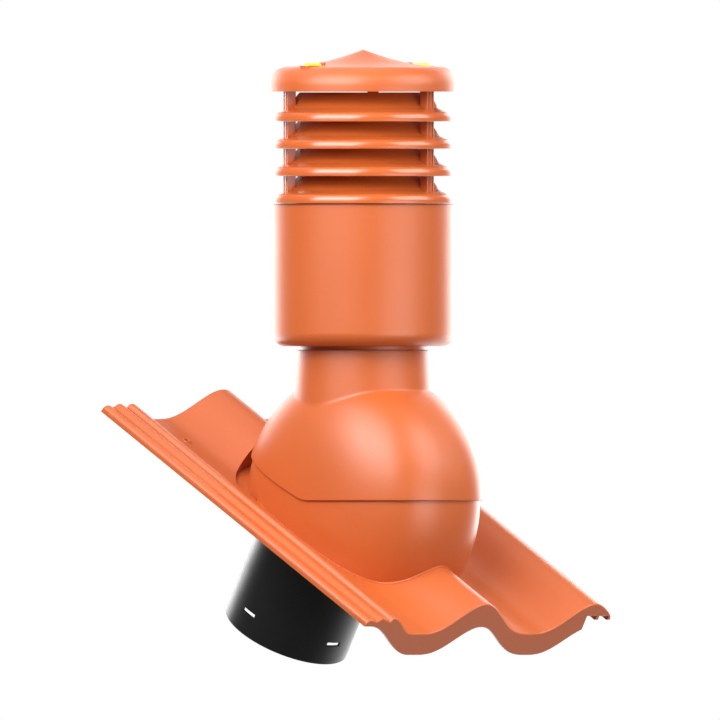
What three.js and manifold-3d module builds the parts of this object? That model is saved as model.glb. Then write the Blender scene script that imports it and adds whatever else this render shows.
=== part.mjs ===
// Insulated roof vent: a moulded roof tile with a ball-shaped cowl and a louvred vent head.
// Millimetres, +Z up, +X across the roof, +Y up the slope. The origin is the middle of the
// batten seat under the tile's head.
// Two frames are used. Upright pieces are drawn round the chimney axis, with the middle of the
// ball at zero. Roof pieces are drawn in the roof's own plane: x across, y up the slope and
// z square to the roof, with the same middle of the ball at zero.
import * as THREE from 'three';
import { mergeVertices } from 'three/addons/utils/BufferGeometryUtils.js';
import Module from 'manifold-3d';

const wasm = await Module();
wasm.setup();

// Roof and fits
const roofPitchDeg = 30;
const fitGap = 0.35;
const roundSides = 30;

// Roof tile plate, across the roof
const tileLeft = -154;
const tileRight = 176;
const wavePitch = 150;
const waveHeight = 33;
const waveSharpness = 1.5;
const valleyLevel = -34.2;
const tileWall = 4;
const waveStep = 11;

// Roof tile plate, along the slope
const tileHead = 220.8;
const tileLength = 417;

// Left interlock: ridges and grooves beside the first valley
const ridgeTop = -17.3;
const outerRidgeTop = -19;
const grooveLevel = -20.7;
const interlockUnder = -26.7;
const interlockWall = 3.5;
const flangeWidth = 3;
const interlockDropEnd = -87;
const tileEdgeRise = 0.4;

// Places of the ridges and grooves, from the plate's left edge
const outerRidgeAt = 4;
const outerGrooveAt = 10;
const middleRidgeAt = 20;
const innerGrooveAt = 30.5;
const innerRidgeAt = 35;
const innerRidgeWidth = 2;

// Right overlap: two ribs that drop into the next tile's grooves
const overlapRibX = 158;
const overlapRibWidth = 3.5;
const overlapRibTip = -19.1;

// Front skirt
const skirtWall = 4;
const skirtValley = -58.4;
const skirtCrest = -27.3;
const skirtDropAt = 7;
const skirtDropEnd = -80;
const skirtEnd = 143;
const skirtOverlapUnder = -15;
const skirtSharpness = 1.5;
const skirtCrestShift = 5;

// Recess behind the dome, cut into the middle crest
const recessRadius = 86;
const recessCentreY = 50.5;
const recessFloorRise = 0.15;

// Batten seat and fixing holes
const seatLength = 200;
const seatWidth = 24;
const seatDepth = 50;
const seatWall = 4;
const seatHeadInset = 16;
const fixingHoleX = 71;
const fixingHoleY = 176.8;
const fixingHoleRadius = 2.6;
const fixingBossRadius = 4.8;
const fixingBossRise = 1;

// Ball: round about the X axis, with bulging sides
const ballRadius = 126;
const ballHalfWidth = 85;
const ballBulge = 2.6;
const ballSteps = 12;
const hoodWall = 2.4;
const domeWall = 2.8;
const domeLap = 14;
const domeLipWidth = 1.9;
const domeLipHeight = 1.3;
const webWall = 3;

// Hood rim: level in front, rising behind
const rimLevel = 1.1;
const rimBendStartY = -8;
const rimBendRadius = 40;
const rimRiseDeg = 24.7;

// Hood neck
const neckTopZ = 146.7;
const neckTopRadius = 63.8;
const neckTaper = 0.065;
const neckRootZ = 70;
const neckWall = 2.5;

// Flue pipe inside the neck and the jacket
const flueWall = 2.5;
const flueInNeck = 45;
const flueAboveJacket = 14;

// Jacket
const jacketRadius = 88.2;
const jacketBottomZ = 150.3;
const jacketHeight = 137.6;
const jacketCorner = 15.5;
const jacketWall = 2.5;
const jacketCollarHeight = 25;

// Louvre rings
const ringCount = 4;
const ringPitch = 26.4;
const ringOverJacket = 3.1;
const ringRimHeight = 9.4;
const ringRoundWidth = 5.5;
const ringRoundHeight = 7;
const ringWall = 2.2;
const ringFlankInset = 15.9;
const ringFlankRise = 3.4;
const ringThroatOverFlue = 0.55;
const ringThroatHeight = 28.3;
const ringSpigotDepth = 8;

// Posts moulded on the rings
const postCount = 3;
const postAngleDeg = 37.7;
const postInset = 14;
const postWidth = 11;
const postDepth = 9;
const postGrooveDepth = 1.3;
const postGrooveWidth = 2;

// Cap
const capAboveTopRing = 28.9;
const capOverRing = 0.2;
const capBandHeight = 5.7;
const capShoulderWidth = 17.5;
const capShoulderHeight = 23.9;
const capConeInset = 43.7;
const capConeHeight = 26.8;
const capWaistHeight = 32.6;
const capApexHeight = 40.5;
const capWall = 2.6;

// Level vials on the cap's shoulder
const vialAnglesDeg = { left: 180, right: -8 };
const vialLength = 22;
const vialRadius = 2.9;
const vialInset = 22.5;
const vialAxisHeight = 24.8;
const vialSeatWall = 2.5;
const vialStopLength = 3.5;
const vialStopRise = 3.4;

// Black duct pipe through the roof
const ductRadius = 62.6;
const ductWall = 2.6;
const ductAxisY = 28.5;
const ductBelow = 162.2;
const ductTopLevel = -10;
const ductFlangeWidth = 6;
const ductFlangeWall = 3;
const slotCount = 4;
const slotWidth = 17.5;
const slotHeight = 4;
const slotAboveRim = 22.4;

// Sizes that follow from the ones above
const roofPitch = THREE.MathUtils.degToRad(roofPitchDeg);
const domeGap = hoodWall + fitGap;
const tileFront = tileHead - tileLength;
const plateUnder = valleyLevel - tileWall;
const flueRadius = neckTopRadius - neckWall - fitGap;
const jacketTopZ = jacketBottomZ + jacketHeight;
const ringRimRadius = jacketRadius + ringOverJacket;
const ringFlankRadius = ringRimRadius - ringFlankInset;
const ringThroatRadius = flueRadius + ringThroatOverFlue;
const postCircleRadius = ringRimRadius - postInset;
const capBottomZ = jacketTopZ + fitGap + (ringCount - 1) * ringPitch + capAboveTopRing;
const capBandRadius = ringRimRadius + capOverRing;
const capShoulderRadius = capBandRadius - capShoulderWidth;
const capConeRadius = capBandRadius - capConeInset;
const vialMiddleRadius = capBandRadius - vialInset;
const seatMiddleY = tileHead - seatHeadInset - seatWidth / 2;
const farOff = 400;

// Solids

function asGeometry(solid) {
  const mesh = solid.getMesh();
  const geometry = new THREE.BufferGeometry();
  geometry.setAttribute('position', new THREE.BufferAttribute(mesh.vertProperties, 3));
  geometry.setIndex(new THREE.BufferAttribute(mesh.triVerts, 1));
  geometry.computeVertexNormals();
  return geometry;
}

// A closed geometry as a solid whose faces point out
function asSolid(geometry) {
  geometry.deleteAttribute('normal');
  geometry.deleteAttribute('uv');
  const merged = mergeVertices(geometry, 1e-4);
  const place = merged.getAttribute('position');
  const index = merged.getIndex();
  const corner = [new THREE.Vector3(), new THREE.Vector3(), new THREE.Vector3()];
  const triangles = [];
  let volume = 0;
  for (let i = 0; i < index.count; i += 3) {
    const ids = [index.getX(i), index.getX(i + 1), index.getX(i + 2)];
    if (ids[0] === ids[1] || ids[1] === ids[2] || ids[2] === ids[0]) continue;
    ids.forEach((id, k) => corner[k].fromBufferAttribute(place, id));
    volume += corner[0].dot(corner[1].clone().cross(corner[2]));
    triangles.push(ids);
  }
  const outward = triangles.map((ids) => (volume < 0 ? [ids[0], ids[2], ids[1]] : ids));
  return new wasm.Manifold(new wasm.Mesh({
    numProp: 3,
    vertProperties: new Float32Array(place.array),
    triVerts: new Uint32Array(outward.flat()),
  }));
}

function joined(solids) {
  return solids.reduce((whole, solid) => whole.add(solid));
}

// A closed outline of [radius, height] points turned about Z
function turned(outline) {
  const points = [...outline, outline[0]].map(([r, z]) => new THREE.Vector2(r, z));
  return new THREE.LatheGeometry(points, roundSides).rotateX(Math.PI / 2);
}

// A full round solid between two heights, straight or tapered
function roundBar(lowRadius, highRadius, low, high) {
  return turned([[0, low], [lowRadius, low], [highRadius, high], [0, high]]);
}

function tube(outerRadius, wall, low, high) {
  const bore = outerRadius - wall;
  return turned([[bore, low], [outerRadius, low], [outerRadius, high], [bore, high]]);
}

function box(xSpan, ySpan, zSpan) {
  const [width, length, height] = [xSpan, ySpan, zSpan].map(([low, high]) => high - low);
  return new THREE.BoxGeometry(width, length, height).translate(
    (xSpan[0] + xSpan[1]) / 2, (ySpan[0] + ySpan[1]) / 2, (zSpan[0] + zSpan[1]) / 2);
}

function shapeOf(outline) {
  return new THREE.Shape(outline.map(([a, b]) => new THREE.Vector2(a, b)));
}

// An outline of [x, z] points drawn along Y
function alongY(outline, low, high) {
  return new THREE.ExtrudeGeometry(shapeOf(outline), { depth: high - low, bevelEnabled: false })
    .rotateX(Math.PI / 2).translate(0, high, 0);
}

// An outline of [y, z] points drawn along X
function alongX(outline, low, high) {
  return new THREE.ExtrudeGeometry(shapeOf(outline), { depth: high - low, bevelEnabled: false })
    .rotateX(Math.PI / 2).rotateZ(Math.PI / 2).translate(low, 0, 0);
}

// An outline of [x, y] points drawn along Z
function alongZ(outline, low, high) {
  return new THREE.ExtrudeGeometry(shapeOf(outline), { depth: high - low, bevelEnabled: false })
    .translate(0, 0, low);
}

// Points of a circular arc, by its centre, radius and two angles in degrees
function arc(centre, radius, fromDeg, toDeg, steps) {
  return Array.from({ length: steps + 1 }, (_, i) => {
    const angle = THREE.MathUtils.degToRad(fromDeg + ((toDeg - fromDeg) * i) / steps);
    return [centre[0] + radius * Math.cos(angle), centre[1] + radius * Math.sin(angle)];
  });
}

// The numbers from low to high in equal steps of about the given size
function spaced(low, high, step) {
  const count = Math.max(1, Math.ceil((high - low) / step));
  return Array.from({ length: count + 1 }, (_, i) => low + ((high - low) * i) / count);
}

// Ball, hood and dome

// The ball, drawn in by a wall or a gap. It is round about X.
function ball(inset) {
  const radius = ballRadius - inset;
  const half = ballHalfWidth - inset;
  const points = Array.from({ length: ballSteps + 1 }, (_, i) => {
    const angle = (Math.PI * i) / ballSteps;
    const across = Math.abs(Math.cos(angle)) ** (2 / ballBulge) * Math.sign(Math.cos(angle));
    const out = i % ballSteps === 0 ? 0 : Math.sin(angle) ** (2 / ballBulge);
    return new THREE.Vector2(radius * out, half * across);
  });
  return new THREE.LatheGeometry(points, roundSides).rotateZ(-Math.PI / 2);
}

// The space above the hood's rim, raised by a lap
function aboveRim(lift) {
  const rise = THREE.MathUtils.degToRad(rimRiseDeg);
  const level = rimLevel + lift;
  const bend = arc([rimBendStartY, level + rimBendRadius], rimBendRadius, -90, -90 + rimRiseDeg, 5);
  const [endY, endZ] = bend[bend.length - 1];
  const backZ = endZ + (farOff - endY) * Math.tan(rise);
  return alongX([[-farOff, level], ...bend, [farOff, backZ], [farOff, 2 * farOff], [-farOff, 2 * farOff]],
    -farOff / 2, farOff / 2);
}

function neckRadius(z) {
  return neckTopRadius + (neckTopZ - z) * neckTaper;
}

function hoodSolid() {
  const neck = roundBar(neckRadius(neckRootZ), neckTopRadius, neckRootZ, neckTopZ);
  const overTop = neckTopZ + tileWall;
  const bore = roundBar(neckRadius(neckRootZ) - neckWall, neckRadius(overTop) - neckWall, neckRootZ, overTop);
  return asSolid(ball(0)).add(asSolid(neck))
    .subtract(asSolid(ball(hoodWall)).add(asSolid(bore)))
    .intersect(asSolid(aboveRim(0)));
}

// Roof tile

function halfWave(x, pitch, sharpness) {
  return ((1 + Math.cos((2 * Math.PI * x) / pitch)) / 2) ** sharpness;
}

// Height between listed points, eased at each of them
function eased(points, x) {
  const next = points.findIndex(([px]) => px >= x);
  if (next <= 0) return points[next === 0 ? 0 : points.length - 1][1];
  const [[x0, z0], [x1, z1]] = [points[next - 1], points[next]];
  return z0 + ((z1 - z0) * (1 - Math.cos((Math.PI * (x - x0)) / (x1 - x0)))) / 2;
}

const interlockEnd = tileLeft + innerRidgeAt + innerRidgeWidth;
const interlock = [
  [tileLeft, grooveLevel + tileEdgeRise], [tileLeft + outerRidgeAt, outerRidgeTop],
  [tileLeft + outerGrooveAt, grooveLevel], [tileLeft + middleRidgeAt, ridgeTop],
  [tileLeft + innerGrooveAt, grooveLevel], [tileLeft + innerRidgeAt, ridgeTop],
  [interlockEnd, ridgeTop], [interlockDropEnd, valleyLevel],
];

function topLevel(x) {
  if (x < interlockDropEnd) return eased(interlock, x);
  if (x < -wavePitch / 2) return valleyLevel;
  return valleyLevel + waveHeight * halfWave(x, wavePitch, waveSharpness);
}

// The places across the tile where its outlines have a point
const interlockPlaces = interlock.slice(1).flatMap(([x], i) => [(interlock[i][0] + x) / 2, x]);
const tilePlaces = [
  tileLeft, ...interlockPlaces, ...spaced(-wavePitch / 2, tileRight, waveStep),
];

function topOutline(rise) {
  return tilePlaces.map((x) => [x, topLevel(x) + rise]);
}

// The underside of the skin: a flange at the left, then an even wall, then the right edge's lip
function underOutline() {
  const flangeX = tileLeft + flangeWidth;
  const lipX = tileRight - overlapRibWidth;
  const strip = grooveLevel - interlockWall;
  const drop = tilePlaces.filter((x) => x > interlockEnd && x < interlockDropEnd);
  const wave = tilePlaces.filter((x) => x >= interlockDropEnd && x < lipX);
  return [
    [tileLeft, interlockUnder], [flangeX, interlockUnder], [flangeX, strip], [interlockEnd, strip],
    ...drop.map((x) => [x, Math.min(topLevel(x) - tileWall, strip)]),
    ...[...wave, lipX].map((x) => [x, topLevel(x) - tileWall]),
    [lipX, overlapRibTip], [tileRight, overlapRibTip],
  ];
}

function skirtOutline() {
  const dropStart = tileLeft + skirtDropAt;
  const wave = spaced(-wavePitch / 2, skirtEnd, waveStep)
    .map((x) => [x, skirtValley
      + (skirtCrest - skirtValley) * halfWave(x - skirtCrestShift, wavePitch, skirtSharpness)]);
  const drop = spaced(dropStart, skirtDropEnd, waveStep).slice(1)
    .map((x) => [x, eased([[dropStart, interlockUnder], [skirtDropEnd, skirtValley]], x)]);
  const under = [
    [tileLeft, interlockUnder], [dropStart, interlockUnder], ...drop, ...wave,
    [skirtEnd + 1, skirtOverlapUnder], [tileRight, skirtOverlapUnder],
  ];
  return [...topOutline(0), ...under.reverse()];
}

// The recess behind the dome, grown by a wall for the skin's underside
function recess(grow) {
  const floor = valleyLevel + recessFloorRise - grow;
  const round = roundBar(recessRadius + grow, recessRadius + grow, floor, farOff)
    .translate(0, recessCentreY, 0);
  const betweenValleys = box([-wavePitch / 2, wavePitch / 2], [-farOff, farOff], [-farOff, farOff]);
  return asSolid(round).intersect(asSolid(betweenValleys));
}

function tileSkin() {
  const floor = [[tileRight, -farOff], [tileLeft, -farOff]];
  const body = asSolid(alongY([...topOutline(0), ...floor], tileFront, tileHead)).subtract(recess(0));
  const under = underOutline();
  const past = 1;
  const space = [
    [tileLeft - past, -farOff], [tileLeft - past, interlockUnder], ...under,
    [tileRight + past, overlapRibTip], [tileRight + past, -farOff],
  ];
  const hollow = asSolid(alongY(space, tileFront - past, tileHead + past)).subtract(recess(tileWall));
  return body.subtract(hollow);
}

function overlapRib() {
  const half = overlapRibWidth / 2;
  const top = topLevel(overlapRibX) - tileWall / 2;
  return asSolid(box([overlapRibX - half, overlapRibX + half], [tileFront, tileHead], [overlapRibTip, top]));
}

// A cross wall and a flat foot that lies on the batten
function battenSeat() {
  const half = seatLength / 2;
  const head = tileHead - seatHeadInset;
  const wall = asSolid(box([-half, half], [head - seatWall, head], [-seatDepth, 0]));
  const underSkin = topOutline(-tileWall / 2);
  const floor = [[tileRight, -farOff], [tileLeft, -farOff]];
  const below = asSolid(alongY([...underSkin, ...floor], tileFront, tileHead));
  const foot = asSolid(box([-half, half], [head - seatWidth, head], [-seatDepth, -seatDepth + seatWall]));
  return wall.intersect(below).add(foot);
}

// Around the dome's foot a low lip stands on the plate
function domeLip() {
  const floor = [[tileRight, plateUnder], [tileLeft, plateUnder]];
  const raised = asSolid(alongY([...topOutline(domeLipHeight), ...floor], tileFront, tileHead));
  const foot = asSolid(ball(domeGap - domeLipWidth).rotateX(-roofPitch));
  return foot.intersect(raised.subtract(recess(0)));
}

function tileSolid() {
  const rimSpace = asSolid(aboveRim(domeLap).rotateX(-roofPitch));
  const abovePlate = asSolid(box([-farOff, farOff], [-farOff, farOff], [plateUnder, farOff]));
  const aboveWeb = asSolid(box([-farOff, farOff], [-farOff, farOff], [plateUnder + webWall, farOff]));
  const dome = asSolid(ball(domeGap).rotateX(-roofPitch)).subtract(rimSpace).intersect(abovePlate);
  const hollow = asSolid(ball(domeGap + domeWall).rotateX(-roofPitch)).intersect(aboveWeb);
  const ductHole = roundBar(ductRadius + fitGap, ductRadius + fitGap, -farOff, 0).translate(0, ductAxisY, 0);
  const skirt = asSolid(alongY(skirtOutline(), tileFront, tileFront + skirtWall));
  const bosses = [-fixingHoleX, fixingHoleX].map((x) => asSolid(
    roundBar(fixingBossRadius, fixingBossRadius, plateUnder, valleyLevel + fixingBossRise)
      .translate(x, fixingHoleY, 0)));
  const holes = [-fixingHoleX, fixingHoleX].map((x) => asSolid(
    roundBar(fixingHoleRadius, fixingHoleRadius, -farOff, farOff).translate(x, fixingHoleY, 0)));
  return joined([tileSkin(), skirt, overlapRib(), battenSeat(), domeLip(), dome, ...bosses])
    .subtract(joined([hollow, asSolid(ductHole), ...holes]));
}

// Vent head

function jacketOutline() {
  const bore = flueRadius + fitGap;
  const outer = arc([jacketRadius - jacketCorner, jacketBottomZ + jacketCorner], jacketCorner, -90, 0, 3);
  const inner = arc([jacketRadius - jacketCorner, jacketBottomZ + jacketCorner],
    jacketCorner - jacketWall, 0, -90, 3);
  const collarTop = jacketBottomZ + jacketCollarHeight;
  return [
    [bore, jacketBottomZ], ...outer, [jacketRadius, jacketTopZ], [jacketRadius - jacketWall, jacketTopZ],
    ...inner, [bore + jacketWall, jacketBottomZ + jacketWall], [bore + jacketWall, collarTop], [bore, collarTop],
  ];
}

// Outer height of a ring above its own lower edge, at a radius from the throat to the flank
function coneHeight(r) {
  const flankHeight = ringRimHeight + ringFlankRise;
  const share = (ringFlankRadius - r) / (ringFlankRadius - ringThroatRadius);
  return flankHeight + share * (ringThroatHeight - flankHeight);
}

// The ring's underside from its lower edge inwards to the throat
function ringUnderside() {
  return [
    [ringRimRadius - ringWall, 0], [ringRimRadius - ringRoundWidth, ringRimHeight - ringWall],
    [ringFlankRadius - ringWall / 2, coneHeight(ringFlankRadius) - ringWall],
    [ringThroatRadius - ringWall, ringThroatHeight - ringWall / 2],
  ];
}

function ringOutline() {
  const round = arc([0, 0], 1, 0, 90, 2).map(([out, up]) => [
    ringRimRadius + (out - 1) * ringRoundWidth, ringRimHeight + (up - 1) * ringRoundHeight,
  ]);
  return [
    [ringRimRadius, 0], ...round,
    [ringFlankRadius, coneHeight(ringFlankRadius)], [ringThroatRadius, ringThroatHeight],
    ...ringUnderside().reverse(),
  ];
}

// Height of the underside over the outer corners of a post
function ceilingOverPost() {
  const r = Math.hypot(postCircleRadius + postDepth / 2, postWidth / 2);
  const under = ringUnderside();
  const next = Math.max(1, under.findIndex(([radius]) => radius <= r));
  const [[r0, z0], [r1, z1]] = [under[next - 1], under[next]];
  return z0 + ((z1 - z0) * (r0 - r)) / (r0 - r1);
}

const postFootHeight = ceilingOverPost() + ringWall / 2;
const postTopHeight = ringPitch + ceilingOverPost() - fitGap;

// A post's outline, with grooves down its outer face, and its place on the post circle
function postOutline() {
  const [half, face] = [postWidth / 2, postDepth / 2];
  const floor = face - postGrooveDepth;
  const grooves = [1, -1].flatMap((side) => {
    const [near, far] = [half / 2 - postGrooveWidth / 2, half / 2 + postGrooveWidth / 2];
    const [first, second] = side > 0 ? [far, near] : [-near, -far];
    return [[face, first], [floor, first], [floor, second], [face, second]];
  });
  return [[-face, half], [face, half], ...grooves, [face, -half], [-face, -half]]
    .map(([out, across]) => [postCircleRadius + out, across]);
}

function posts(low, high) {
  return Array.from({ length: postCount }, (_, i) => {
    const angle = THREE.MathUtils.degToRad(postAngleDeg) + (2 * Math.PI * i) / postCount;
    return asSolid(alongZ(postOutline(), low, high).rotateZ(angle));
  });
}

// One ring with its posts. The lowest also has a spigot inside the jacket.
function ringSolid(lowest) {
  const parts = [asSolid(turned(ringOutline())), ...posts(postFootHeight, postTopHeight)];
  if (lowest) {
    const spigotRadius = jacketRadius - jacketWall - fitGap;
    const deckRadius = ringRimRadius - ringWall / 2;
    parts.push(asSolid(tube(spigotRadius, ringWall, -ringSpigotDepth, ringWall)));
    parts.push(asSolid(tube(deckRadius, deckRadius - spigotRadius + ringWall / 2, 0, ringWall)));
  }
  return joined(parts);
}

// The space under the cap's outer face, drawn in by a wall
function capBody(inset, low) {
  const band = capBandRadius - inset;
  const shoulder = arc([0, 0], 1, 0, 90, 4).map(([out, up]) => [
    capShoulderRadius + out * (band - capShoulderRadius),
    capBandHeight + up * (capShoulderHeight - inset - capBandHeight),
  ]);
  const cone = [[capConeRadius, capConeHeight], [capConeRadius / 2, capWaistHeight], [0, capApexHeight]]
    .map(([r, z]) => [r, z - inset]);
  return asSolid(turned([[0, low], [band, low], ...shoulder, ...cone]));
}

// A box along a radius of the cap, from one radius to another
function radialBox(angleDeg, radii, width, heights) {
  return box(radii, [-width / 2, width / 2], heights).rotateZ(THREE.MathUtils.degToRad(angleDeg));
}

function capSolid() {
  const [near, far] = [vialMiddleRadius - vialLength / 2, vialMiddleRadius + vialLength / 2];
  const stopSpan = [near - fitGap - vialStopLength, near - fitGap];
  const bossFoot = postTopHeight + fitGap - capAboveTopRing;
  const troughFloor = vialAxisHeight - vialRadius - fitGap;
  const forEachVial = (radii, width, heights) => Object.values(vialAnglesDeg)
    .map((angle) => asSolid(radialBox(angle, radii, width, heights)));
  const seats = forEachVial([stopSpan[0], far + vialSeatWall], 2 * (vialRadius + vialSeatWall),
    [troughFloor - vialSeatWall, capApexHeight]);
  const stops = forEachVial(stopSpan, 2 * vialRadius, [vialAxisHeight, vialAxisHeight + vialStopRise]);
  const troughs = forEachVial([near - fitGap, far + fitGap], 2 * (vialRadius + fitGap),
    [troughFloor, capApexHeight]);
  const bosses = posts(bossFoot, capShoulderHeight);
  const body = capBody(0, 0);
  return body.subtract(capBody(capWall, -capWall))
    .add(joined([...seats, ...bosses]).intersect(body))
    .add(joined(stops))
    .subtract(joined(troughs));
}

function vialGeometry() {
  const half = vialLength / 2;
  const nose = arc([0, half - vialRadius], vialRadius, 0, 90, 3);
  const points = [...nose.map(([r, z]) => [r, -z]).reverse(), ...nose]
    .map(([r, z]) => new THREE.Vector2(r, z));
  return new THREE.LatheGeometry(points, 12).rotateZ(Math.PI / 2);
}

// Duct pipe

function ductSolid() {
  const low = -ductBelow;
  const pipe = asSolid(tube(ductRadius, ductWall, low, ductTopLevel));
  const flangeLow = plateUnder + webWall + fitGap;
  const flange = asSolid(tube(ductRadius + ductFlangeWidth, ductFlangeWidth + ductWall / 2,
    flangeLow, flangeLow + ductFlangeWall));
  const slotZ = low + slotAboveRim;
  const slots = Array.from({ length: slotCount }, (_, i) => asSolid(
    radialBox((360 / slotCount) * i, [ductRadius - 3 * ductWall, ductRadius + ductWall], slotWidth,
      [slotZ - slotHeight / 2, slotZ + slotHeight / 2])));
  return pipe.add(flange).subtract(joined(slots));
}

// Finishes

const finish = {
  terracotta: new THREE.MeshStandardMaterial({ color: 0xe8784a, roughness: 0.35, metalness: 0 }),
  duct: new THREE.MeshStandardMaterial({ color: 0x232323, roughness: 0.45, metalness: 0 }),
  vial: new THREE.MeshStandardMaterial({ color: 0xd8dc50, roughness: 0.1, metalness: 0 }),
};

function named(name, geometry, material) {
  const mesh = new THREE.Mesh(geometry, material.clone());
  mesh.name = name;
  return mesh;
}

const vent = new THREE.Group();
const upright = new THREE.Group();
const onRoof = new THREE.Group();
onRoof.rotation.x = roofPitch;
vent.add(upright, onRoof);

onRoof.add(named('roof_tile', asGeometry(tileSolid()), finish.terracotta));
const duct = named('duct_pipe', asGeometry(ductSolid()), finish.duct);
duct.position.y = ductAxisY;
onRoof.add(duct);

upright.add(named('hood', asGeometry(hoodSolid()), finish.terracotta));
upright.add(named('flue_pipe', tube(flueRadius, flueWall, neckTopZ - flueInNeck, jacketTopZ + flueAboveJacket),
  finish.terracotta));
upright.add(named('jacket', turned(jacketOutline()), finish.terracotta));

for (let i = 0; i < ringCount; i += 1) {
  const ring = named(`louvre_ring_${i + 1}`, asGeometry(ringSolid(i === 0)), finish.terracotta);
  ring.position.z = jacketTopZ + fitGap + i * ringPitch;
  upright.add(ring);
}

const cap = new THREE.Group();
cap.position.z = capBottomZ;
cap.add(named('cap', asGeometry(capSolid()), finish.terracotta));
for (const [side, angleDeg] of Object.entries(vialAnglesDeg)) {
  const angle = THREE.MathUtils.degToRad(angleDeg);
  const vial = named(`level_vial_${side}`, asGeometry(asSolid(vialGeometry())), finish.vial);
  vial.rotation.z = angle;
  vial.position.set(vialMiddleRadius * Math.cos(angle), vialMiddleRadius * Math.sin(angle), vialAxisHeight);
  cap.add(vial);
}
upright.add(cap);

// The whole model is moved so that the batten seat's middle is the origin
const seat = new THREE.Vector3(0, seatMiddleY, -seatDepth).applyAxisAngle(new THREE.Vector3(1, 0, 0), roofPitch);
vent.position.copy(seat).negate();

export default vent;
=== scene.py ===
import math

import bmesh
import bpy
import numpy as np
from mathutils import Matrix, Vector


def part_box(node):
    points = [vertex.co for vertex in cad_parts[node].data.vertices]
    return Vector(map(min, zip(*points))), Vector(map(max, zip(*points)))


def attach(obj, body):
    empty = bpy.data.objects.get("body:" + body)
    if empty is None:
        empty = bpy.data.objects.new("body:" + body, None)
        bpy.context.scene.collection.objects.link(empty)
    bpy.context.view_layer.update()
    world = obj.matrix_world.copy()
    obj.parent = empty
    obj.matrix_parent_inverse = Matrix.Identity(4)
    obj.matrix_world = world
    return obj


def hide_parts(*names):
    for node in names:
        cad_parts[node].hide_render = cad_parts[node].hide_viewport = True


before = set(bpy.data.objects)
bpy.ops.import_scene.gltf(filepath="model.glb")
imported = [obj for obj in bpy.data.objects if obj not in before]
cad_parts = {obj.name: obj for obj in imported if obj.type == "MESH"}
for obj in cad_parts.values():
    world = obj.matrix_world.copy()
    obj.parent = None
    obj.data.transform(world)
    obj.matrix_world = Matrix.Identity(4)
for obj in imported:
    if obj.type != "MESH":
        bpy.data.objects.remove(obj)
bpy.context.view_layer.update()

# Insulated roof vent of moulded terracotta plastic. Shapes are drawn in millimetres in two frames
# that share the middle of the ball: upright pieces round the chimney axis, and roof pieces with
# x across the roof, y up the slope and z square to it.

MM = 0.001
SIDES = 192
FIT = 0.35
SOFT_EDGE = 0.6
FACE_GAP = 0.02
FAR_BELOW = -90.0
FAR_ABOVE = 90.0

# Roof tile plate, across the roof
ROOF_PITCH = math.radians(30)
TILE_LEFT = -154.0
TILE_RIGHT = 176.0
WAVE_PITCH = 150.0
WAVE_HEIGHT = 33.0
WAVE_SHARPNESS = 1.5
VALLEY_LEVEL = -34.2
TILE_WALL = 4.0

# Roof tile plate, along the slope
TILE_HEAD = 220.8
TILE_FRONT = TILE_HEAD - 417.0
EDGE_ROUNDING = 2.2
SIDE_ROUNDING = 5.0

# Left interlock and right overlap
RIDGE_TOP = -17.3
OUTER_RIDGE_TOP = -19.0
GROOVE_LEVEL = -20.7
INTERLOCK_UNDER = -26.7
INTERLOCK_WALL = 3.5
FLANGE_WIDTH = 3.0
INTERLOCK_DROP_END = -87.0
OUTER_RIDGE_X = TILE_LEFT + 5.0
OUTER_GROOVE_X = TILE_LEFT + 13.0
MIDDLE_RIDGE_X = TILE_LEFT + 20.0
INNER_GROOVE_X = TILE_LEFT + 32.0
INNER_RIDGE_X = TILE_LEFT + 35.5
INTERLOCK_END = TILE_LEFT + 37.0
SIDE_DROP = 0.3
INTERLOCK = [
    (TILE_LEFT, OUTER_RIDGE_TOP - SIDE_DROP), (OUTER_RIDGE_X, OUTER_RIDGE_TOP),
    (OUTER_GROOVE_X, GROOVE_LEVEL), (MIDDLE_RIDGE_X, RIDGE_TOP), (INNER_GROOVE_X, GROOVE_LEVEL),
    (INNER_RIDGE_X, RIDGE_TOP), (INTERLOCK_END, RIDGE_TOP), (INTERLOCK_DROP_END, VALLEY_LEVEL),
]
OVERLAP_RIB_X = 158.0
OVERLAP_RIB_WIDTH = 3.5
OVERLAP_RIB_TIP = -19.1

# Front skirt
SKIRT_WALL = 4.0
SKIRT_VALLEY = -58.4
SKIRT_CREST = -27.3
SKIRT_END = 143.0
SKIRT_OVERLAP_UNDER = -15.0
SKIRT_SHARPNESS = 1.5
SKIRT_CREST_SHIFT = 5.0
SKIRT_DROP_START = -147.0
SKIRT_DROP_END = -80.0

# Recess behind the dome, batten seat and fixing holes
RECESS_RADIUS = 86.0
RECESS_CENTRE_Y = 50.5
RECESS_FLOOR_RISE = -3.0
SEAT_LENGTH = 200.0
SEAT_WIDTH = 24.0
SEAT_DEPTH = 50.0
SEAT_WALL = 4.0
SEAT_HEAD_INSET = 16.0
FIXING_HOLE_X = 71.0
FIXING_HOLE_Y = 176.8
FIXING_HOLE_RADIUS = 2.6
FIXING_BOSS_RADIUS = 4.8
FIXING_BOSS_RISE = 1.0

# Ball, round about X with bulging sides, and the hood and dome made from it
BALL_RADIUS = 126.0
BALL_HALF_WIDTH = 85.0
BALL_BULGE = 2.6
HOOD_WALL = 2.4
DOME_WALL = 2.8
DOME_GAP = HOOD_WALL + FIT
DOME_LAP = 14.0
DOME_LIP_WIDTH = 1.9
DOME_LIP_HEIGHT = 1.3
DOME_LIP_ROOT = 1.2
DOME_LIP_DEPTH = 2.5
LIP_FADE_START = 70.0
LIP_FADE_WIDTH = 6.0
LIP_FADE_DROP = 0.3
WEB_WALL = 3.0

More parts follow.
